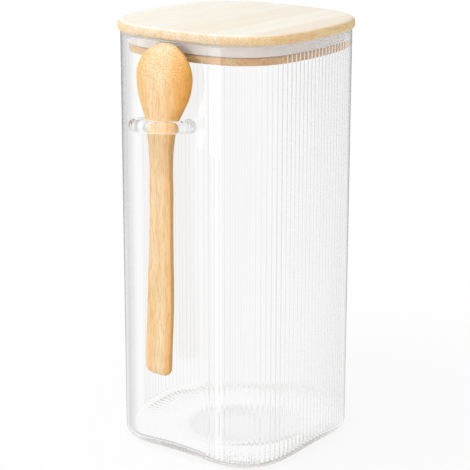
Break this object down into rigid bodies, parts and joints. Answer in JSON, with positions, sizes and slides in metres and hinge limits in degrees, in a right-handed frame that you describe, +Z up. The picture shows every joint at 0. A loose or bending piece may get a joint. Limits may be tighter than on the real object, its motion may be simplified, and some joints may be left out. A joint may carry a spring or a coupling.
{
  "type": "storage jar",
  "caption": "Tall square jar of ribbed glass with a bamboo plug lid, a silicone gasket and a bamboo spoon hung in a glass ring on its front.",
  "frame": {"origin": "middle of the flat round disc under the jar, on the surface it stands on", "axes": "+Z up along the jar, -Y out of the front face that carries the spoon, +X to the right seen from the front"},
  "size_m": [0.1026, 0.1232, 0.2102],
  "materials": {
    "clear_glass": "clear blown borosilicate glass, smooth outside and ribbed inside",
    "pale_bamboo": "sanded pale strip bamboo",
    "bamboo": "sanded and oiled bamboo",
    "silicone": "whitish translucent silicone"
  },
  "bodies": {
    "jar": {"glass_body": "clear_glass", "spoon_loop": "clear_glass"},
    "lid": {"lid_plate": "pale_bamboo", "lid_plug": "bamboo", "lid_gasket": "silicone"},
    "spoon": {"spoon": "bamboo"}
  },
  "joints": [
    {"name": "lid_lift", "type": "slide", "parent": "jar", "child": "lid", "axis": [0, 0, 1], "range_m": [0, 0.06]},
    {"name": "spoon_lift", "type": "slide", "parent": "jar", "child": "spoon", "axis": [0, 0, 1], "range_m": [0, 0.13]}
  ]
}
